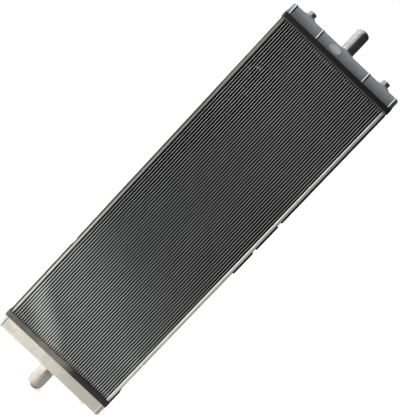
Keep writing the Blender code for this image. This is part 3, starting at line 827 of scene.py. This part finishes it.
def make_tank(end, material, port_boss, pin_boss):
    """The cast tank: its solids are run together and smoothed, which gives the casting's soft fillets."""
    half_x = end.header_x - HEADER_RIM_WALL - 0.3 * MM
    half_y = end.header_y - HEADER_RIM_WALL - 0.3 * MM
    rim, top = end.header_height, end.tank_top
    foot = rim + 0.3 * MM
    bm = rounded_box((-half_x, -half_y, rim - 8 * MM), (half_x, half_y, top), TANK_CORNER, TANK_EDGE, 0.0, 10)
    skirt_x, skirt_y = half_x + SKIRT, half_y + SKIRT
    merge(bm, rounded_box((-skirt_x, -skirt_y, foot), (skirt_x, skirt_y, foot + 7 * MM),
                          TANK_CORNER + SKIRT, 1.1 * MM, 0.0, 10))
    merge(bm, turned(dome(*port_boss, top), (0, 0, 0), steps=64))
    for x in (-end.pin_x, end.pin_x):
        merge(bm, turned(dome(*pin_boss, top), (x, 0, 0), steps=64))
    tank = finish_piece(f"cast_{end.side}_tank", bm, material, 180.0)
    melt = tank.modifiers.new("melt", "REMESH")
    melt.mode = "VOXEL"
    melt.voxel_size = 1.15 * MM
    melt.use_smooth_shade = True
    soften = tank.modifiers.new("soften", "SMOOTH")
    soften.factor = 0.5
    soften.iterations = 3
    applied(tank)
    ribs = TOP_RIBS if end.side == "top" else END_RIBS
    if end.side == "top":
        combine(tank, oval_slab(PAD_RADII, -3 * MM, 1.5 * MM, half_y, 2.2 * MM), "UNION")
        inner = [r - 3.4 * MM for r in PAD_RADII]
        combine(tank, oval_slab(inner, 0.7 * MM, 3 * MM, half_y, -1.2 * MM))
    for x in ribs:
        rib_foot = foot if x in END_RIBS else foot + INNER_RIB_RISE
        combine(tank, rib_hoop(x, rib_foot, end, half_y), "UNION")
    wall = TANK_WALL
    combine(tank, rounded_box((wall - half_x, wall - half_y, 0), (half_x - wall, half_y - wall, top - wall),
                          TANK_CORNER - wall, 2 * MM, 0.0, 6))
    bore = turned([(0, top + 12 * MM), (15 * MM, top + 12 * MM), (15 * MM, top - 8 * MM), (0, top - 8 * MM)],
                  (0, 0, 0), steps=64)
    combine(tank, bore)
    end.place(tank.data)
    tank.data.materials.clear()
    tank.data.materials.append(material)
    tank.data.shade_smooth()
    tank.data.set_sharp_from_angle(angle=math.radians(50))
    keep(tank, f"{end.side}_tank_cast", f"{end.side}_tank")


def ripple_bead(name, path, radius, ripple, material, slot, seed, end):
    """A weld bead laid along a closed path of points: a thin tube whose overlapping ripples swell it."""
    rng = random.Random(seed)
    bm = bmesh.new()
    sides = 8
    length = sum((b - a).length for a, b in zip(path, path[1:] + path[:1]))
    step = length / len(path)
    rings = []
    travelled = 0.0
    for i, point in enumerate(path):
        along = (path[(i + 1) % len(path)] - path[i - 1]).normalized()
        across = Vector((0, 0, 1))
        out = along.cross(across).normalized()
        travelled += step
        beat = (travelled / ripple) % 1.0
        size = radius * (0.86 + 0.20 * math.sqrt(1 - (beat - 0.5) ** 2 * 3) + rng.uniform(-0.03, 0.03))
        ring = []
        for k in range(sides):
            angle = 2 * math.pi * k / sides
            ring.append(bm.verts.new(point + (out * math.cos(angle) + across * math.sin(angle)) * size))
        rings.append(ring)
    skin(bm, rings, wrap=True)
    keep(finish_piece(name, end.place(bm), material, 80.0), slot)


def rounded_rectangle(x, y, corner, z, spacing):
    """Evenly spaced points round a rectangle with round corners."""
    points = []
    for cx, cy, start in ((x - corner, y - corner, 0), (corner - x, y - corner, 90),
                          (corner - x, corner - y, 180), (x - corner, corner - y, 270)):
        points += [Vector((px, py, z)) for px, py in arc((cx, cy), (corner, corner), start, start + 90, 12)]
    dense = []
    for a, b in zip(points, points[1:] + points[:1]):
        count = max(1, round((b - a).length / spacing))
        dense += [a.lerp(b, i / count) for i in range(count)]
    return dense


def grooved(points, heights, half_width, depth):
    """Cuts shallow round grooves into a turned profile at the given heights."""
    cut_points = []
    for radius, height in points:
        share = max(max(0.0, 1 - abs(height - groove) / half_width) for groove in heights)
        cut_points.append((radius - depth * share, height))
    return cut_points


def top_port_profile(reach):
    """The long tube: its rolled-in mouth, five turned grooves and the weld at its foot."""
    radius, bore = 20 * MM, 17 * MM
    outer = [(11.4 * MM, reach), (12.0 * MM, reach - 0.4 * MM)]
    outer += arc((12.0 * MM, 64.5 * MM), (8.0 * MM, 10.0 * MM), 86, 0, 12)
    for groove in range(5):
        height = 61.5 * MM - groove * 4.6 * MM
        outer += [(radius, height + 0.9 * MM), (19.85 * MM, height), (radius, height - 0.9 * MM)]
    outer += [(radius, 7 * MM), (20.5 * MM, 6.2 * MM), (21.6 * MM, 5.4 * MM), (22.4 * MM, 4.6 * MM),
              (radius, PORT_FOOT)]
    inner = [(bore, PORT_FOOT), (bore, 61 * MM), (9.7 * MM, 69 * MM), (9.5 * MM, reach - 0.6 * MM),
             (9.9 * MM, reach)]
    return outer + inner


def bottom_port_profile(reach):
    """The short barrel neck: its lip, two grooves in its shoulder and the weld at its foot."""
    radius, bore = 25.0 * MM, 19.5 * MM
    outer = [(13.9 * MM, reach), (14.5 * MM, reach - 0.5 * MM)]
    shoulder = arc((14.5 * MM, 54 * MM), (10.3 * MM, 19.5 * MM), 88, 0, 44)
    outer += grooved(shoulder, (66.3 * MM, 70.8 * MM), 1.5 * MM, 2.2 * MM)
    outer += [(radius, 44 * MM), (radius, 36 * MM), (24.8 * MM, 25 * MM), (24.4 * MM, 15 * MM),
              (23.7 * MM, 8 * MM), (23.2 * MM, 4.5 * MM)]
    outer += [(23.8 * MM, 3.4 * MM), (25.0 * MM, 2.8 * MM), (25.8 * MM, 2.2 * MM), (23 * MM, PORT_FOOT)]
    inner = [(bore, PORT_FOOT), (bore, 52 * MM), (12.2 * MM, 66 * MM), (12.0 * MM, reach - 0.7 * MM),
             (12.5 * MM, reach)]
    return outer + inner


def make_port(end, profile_of, material, slot):
    profile = profile_of(end.port_tip - end.tank_top)
    bm = end.place(turned(profile, (0, 0, end.tank_top), closed=True))
    keep(finish_piece(f"turned_{end.side}_port", bm, material, 30.0), slot, f"{end.side}_port")


def make_pins(end, boss_height):
    """Mounting pins with a turned chamfer and a weld fillet on the boss."""
    foot = end.tank_top + boss_height
    radius, length = end.pin_radius, end.pin_tip - end.tank_top - boss_height
    chamfer = radius * 0.12
    profile = [(0, length), (radius - chamfer, length), (radius - 0.25 * chamfer, length - 0.3 * chamfer),
               (radius, length - chamfer), (radius, 1.9 * MM)]
    profile += [(radius + 0.35 * MM, 0.9 * MM), (radius + 1.2 * MM, 0.3 * MM), (radius + 1.6 * MM, -0.6 * MM),
                (0, -0.6 * MM)]
    for hand, x in (("left", -end.pin_x), ("right", end.pin_x)):
        bm = end.place(turned(profile, (x, 0, foot), steps=72))
        # The lower pins get the lighter copy of the steel, which is painted light.
        metal = PIN if end.up > 0 else LOWER_PIN
        keep(finish_piece(f"turned_{end.side}_{hand}_pin", bm, metal, 30.0), "pin_steel",
             f"{end.side}_{hand}_mounting_pin")


def make_ends():
    top, bottom = End("top"), End("bottom")
    make_header(top, TOP_HEADER, "top_header_black")
    make_header(bottom, BOTTOM_HEADER, "bottom_header_grey")
    # Each boss has its radius, its height and the radius of its flat crown.
    make_tank(top, TOP_CAST, (30 * MM, 5 * MM, 21.5 * MM), (23 * MM, TOP_PIN_BOSS, 14.5 * MM))
    make_tank(bottom, BOTTOM_CAST, (30 * MM, 2.5 * MM, 25 * MM), (19 * MM, BOTTOM_PIN_BOSS, 12.5 * MM))
    for end, material, slot, seed in ((top, TOP_HEADER, "top_header_black", 11),
                                      (bottom, BOTTOM_CAST, "bottom_tank_cast", 12)):
        inset = 1.5 * MM
        path = rounded_rectangle(end.header_x - inset, end.header_y - inset, HEADER_CORNER - inset,
                                 end.header_height - 0.1 * MM, 0.9 * MM)
        ripple_bead(f"{end.side}_tank_weld_bead", path, 1.1 * MM, 2.6 * MM, material, slot, seed, end)

    make_port(top, top_port_profile, TOP_TURNED, "top_port_tube")
    make_port(bottom, bottom_port_profile, BOTTOM_TURNED, "bottom_port_neck")
    make_pins(top, TOP_PIN_BOSS)
    make_pins(bottom, BOTTOM_PIN_BOSS)


# ---------------------------------------------------------------- sides

SAW_CUT = 1.8 * MM
SAW_CUT_INSET = 140 * MM        # from the headers' core faces


def make_side_plate(hand, sign):
    """A rolled channel with rounded bends, open away from the core, with its two saw cuts."""
    low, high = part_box(f"{hand}_side_plate")
    near, far = (low.x, high.x) if sign > 0 else (-high.x, -low.x)
    depth, sheet, bend = high.y, 2 * MM, 3 * MM
    outer = arc((near + bend, -depth + bend), (bend, bend), 180, 270, 6)
    inner_radius = bend - sheet
    tip = sheet / 2
    lip = arc((far - tip, -depth + tip), (tip, tip), 270, 450, 6)
    inner = arc((near + bend, -depth + bend), (inner_radius, inner_radius), 270, 180, 4)
    half = outer + lip + inner
    section = half + [(x, -y) for x, y in reversed(half)]
    section = [(sign * x, y) for x, y in section]
    plate = finish_piece(f"rolled_{hand}_channel", prism(section, low.z, high.z), CHANNEL, 35.0)
    for z in (LOWER_FACE + SAW_CUT_INSET, UPPER_FACE - SAW_CUT_INSET):
        slot = bmesh.new()
        a, b = sorted((sign * (near + sheet + 0.3 * MM), sign * (far + 2 * MM)))
        add_box(slot, (a, -depth - MM, z - SAW_CUT / 2), (b, depth + MM, z + SAW_CUT / 2))
        combine(plate, slot)
    plate.data.set_sharp_from_angle(angle=math.radians(35))
    keep(plate, "side_plate_aluminium", f"{hand}_side_plate")


def make_foam(node):
    """A length of sponge strip with soft edges, a lightly uneven face and hand-cut ends."""
    low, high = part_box(node)
    rng = random.Random(node)
    phase = rng.uniform(0, 50)
    length = high.z - low.z
    rings = max(8, round(length / (6 * MM)))
    half_x, half_y = (high.x - low.x) / 2, (high.y - low.y) / 2
    middle_x = (low.x + high.x) / 2
    radius = min(half_x * 0.8, 1.4 * MM)
    outline = []
    for cx, cy, start in ((half_x - radius, half_y - radius, 0), (radius - half_x, half_y - radius, 90),
                          (radius - half_x, radius - half_y, 180), (half_x - radius, radius - half_y, 270)):
        outline += arc((cx, cy), (radius, radius), start, start + 90, 3)
    bm = bmesh.new()
    loops = []
    for i in range(rings + 1):
        share = i / rings
        z = low.z + length * share
        pinch = 1 - 0.05 * (1 - min(1.0, min(share, 1 - share) * length / (3 * MM)))
        loop = []
        for x, y in outline:
            swell = noise.noise((phase, y * 60, z * 55)) * 0.22 * MM
            slant = (y / half_y) * 0.5 * MM if i in (0, rings) else 0.0
            depth_wave = noise.noise((phase + 9, x * 60, z * 40)) * 0.30 * MM
            px = middle_x + x * pinch * (1 + swell / half_x) - x / half_x * 0.22 * MM
            py = y * pinch - (y / half_y) * 0.3 * MM + depth_wave
            inward = 0.5 * MM if i == 0 else (-0.5 * MM if i == rings else 0.0)
            loop.append(bm.verts.new((px, py, z + slant + inward)))
        loops.append(loop)
    skin(bm, loops)
    piece = finish_piece(f"sponge_{node}", bm, SPONGE, 50.0)
    keep(piece, "seal_foam", node)


# ---------------------------------------------------------------- studio

def make_camera():
    """A camera a little above the cooler's middle, rolled so that the cooler lies on a slant."""
    azimuth, elevation, roll = (math.radians(a) for a in (0.65, 5.2, 43.36))
    distance, focal = 2.0, 63.2
    aim = Vector((0.0023, 0, CORE_MIDDLE + 0.021))
    look = Vector((math.sin(azimuth) * math.cos(elevation), math.cos(azimuth) * math.cos(elevation),
                   -math.sin(elevation)))
    right = Vector((math.cos(azimuth), -math.sin(azimuth), 0))
    up = right.cross(look)
    across = right * math.cos(roll) + up * math.sin(roll)
    upward = up * math.cos(roll) - right * math.sin(roll)
    data = bpy.data.cameras.new("camera")
    data.sensor_width = 36
    data.lens = focal
    camera = bpy.data.objects.new("camera", data)
    turn = Matrix((across, upward, -look)).transposed().to_4x4()
    camera.matrix_world = Matrix.Translation(aim - look * distance) @ turn
    bpy.context.scene.collection.objects.link(camera)
    bpy.context.scene.camera = camera


def make_light(name, place, target, size, power, colour):
    data = bpy.data.lights.new(name, "AREA")
    data.shape = "RECTANGLE"
    data.size, data.size_y = size
    data.energy = power
    data.color = colour
    light = bpy.data.objects.new(name, data)
    aim = (Vector(target) - Vector(place)).to_track_quat("-Z", "Y")
    light.matrix_world = Matrix.Translation(place) @ aim.to_matrix().to_4x4()
    bpy.context.scene.collection.objects.link(light)


FLOOR_HALF = 1.6


def make_floor():
    """A plain white floor under and behind the cooler; the white world carries on beyond it."""
    bm = bmesh.new()
    bmesh.ops.create_grid(bm, x_segments=4, y_segments=4, size=FLOOR_HALF)
    n = Nodes("studio_floor")
    n.surface((0.92, 0.92, 0.92), 0.9)
    n.shader.inputs["Emission Color"].default_value = (1, 1, 1, 1)
    n.shader.inputs["Emission Strength"].default_value = 0.55
    floor = finish_piece("studio_floor", bm, n.material)
    floor.location = (0, FLOOR_HALF - 0.25, cad_bounds[0][2])


def make_world():
    """White to look at; as a light it is bright at the cooler's upper left and dim elsewhere."""
    world = bpy.data.worlds.new("studio")
    world.use_nodes = True
    tree = world.node_tree
    tree.nodes.clear()
    out = tree.nodes.new("ShaderNodeOutputWorld")
    direction = tree.nodes.new("ShaderNodeTexCoord").outputs["Generated"]
    split = tree.nodes.new("ShaderNodeSeparateXYZ")
    tree.links.new(direction, split.inputs[0])
    side = tree.nodes.new("ShaderNodeMapRange")
    side.interpolation_type = "SMOOTHSTEP"
    lean = tree.nodes.new("ShaderNodeMath")
    lean.operation = "MULTIPLY_ADD"
    tree.links.new(split.outputs["Z"], lean.inputs[0])
    lean.inputs[1].default_value = -0.35
    tree.links.new(split.outputs["X"], lean.inputs[2])
    tree.links.new(lean.outputs[0], side.inputs["Value"])
    for socket, number in zip(RANGE_SOCKETS, (-0.62, -0.05, 1.60, 0.09)):
        side.inputs[socket].default_value = number
    soft = tree.nodes.new("ShaderNodeBackground")
    tree.links.new(side.outputs["Result"], soft.inputs["Strength"])
    white = tree.nodes.new("ShaderNodeBackground")
    white.inputs["Strength"].default_value = 1.05
    for shade in (soft, white):
        shade.inputs["Color"].default_value = (1, 1, 1, 1)
    seen = tree.nodes.new("ShaderNodeLightPath")
    choose = tree.nodes.new("ShaderNodeMixShader")
    tree.links.new(seen.outputs["Is Camera Ray"], choose.inputs["Fac"])
    tree.links.new(soft.outputs[0], choose.inputs[1])
    tree.links.new(white.outputs[0], choose.inputs[2])
    tree.links.new(choose.outputs[0], out.inputs["Surface"])
    bpy.context.scene.world = world
    bpy.context.scene.view_settings.view_transform = "Standard"


make_camera()
make_world()
make_floor()
make_light("left_window", (-1.6, -0.55, 0.62), target=(0, 0, 0.5), size=(0.5, 1.6), power=22,
           colour=(0.98, 0.975, 1.0))
make_light("low_fill", (-0.45, -1.1, 0.05), target=(0, 0, 0.10), size=(0.6, 0.3), power=3,
           colour=(1.0, 0.97, 0.92))
make_core()
make_crushed_folds()
make_ends()
for hand, sign in (("left", -1), ("right", 1)):
    make_side_plate(hand, sign)
for node in FOAMS:
    make_foam(node)

bpy.context.view_layer.update()
